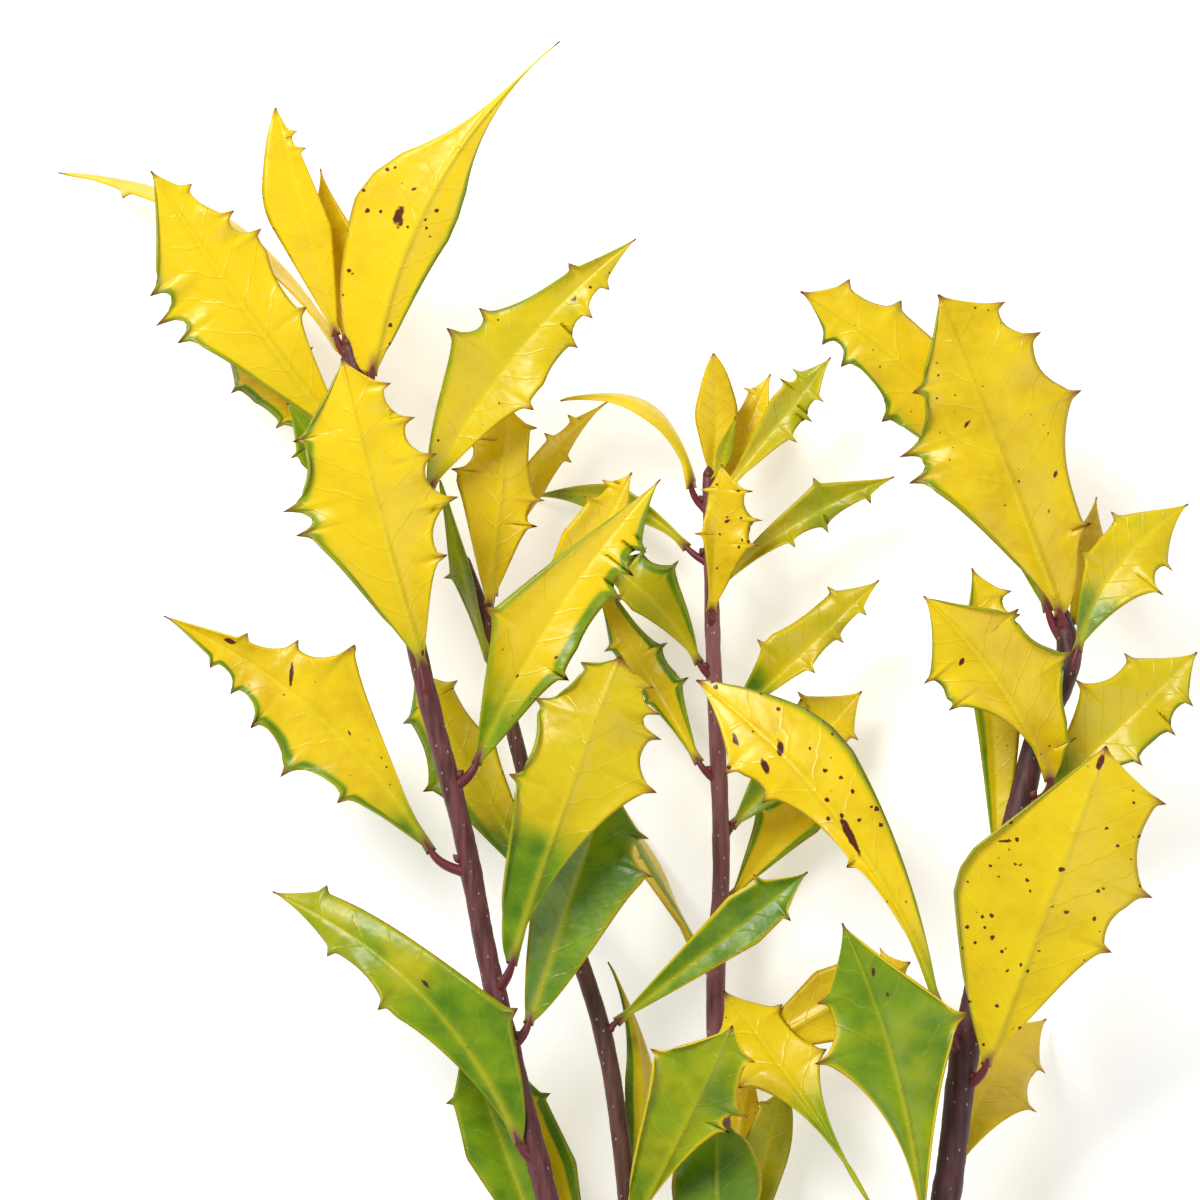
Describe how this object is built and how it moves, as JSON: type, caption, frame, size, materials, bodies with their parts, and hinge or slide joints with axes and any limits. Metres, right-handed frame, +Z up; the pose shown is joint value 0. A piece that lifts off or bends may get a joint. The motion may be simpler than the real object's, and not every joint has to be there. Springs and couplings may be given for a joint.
{
  "type": "cut holly branch",
  "caption": "Cut branch lying on its side: a short woody foot forks into leafy shoots with broad, lobed, spine-edged golden leaves.",
  "frame": {"origin": "under the middle of the bounding box, on the surface the branch lies on", "axes": "+Y along the branch from its cut end to its tips, +X to the right seen from above, +Z up"},
  "size_m": [0.2864, 0.5096, 0.078],
  "materials": {
    "bark": "smooth purple-brown bark",
    "leaves": "leathery, yellow with green patches"
  },
  "bodies": {
    "root": {"main_stem": "bark", "left_limb": "bark", "left_shoot_stalk": "bark", "right_limb": "bark", "left_shoot_lower_leaves": "leaves", "left_shoot_middle_leaves": "leaves", "left_shoot_top_leaves": "leaves", "second_shoot_lower_leaves": "leaves", "second_shoot_middle_leaves": "leaves", "second_shoot_top_leaves": "leaves", "third_shoot_lower_leaves": "leaves", "third_shoot_middle_leaves": "leaves", "third_shoot_top_leaves": "leaves", "right_shoot_lower_leaves": "leaves", "right_shoot_middle_leaves": "leaves", "right_shoot_top_leaves": "leaves"}
  },
  "joints": []
}
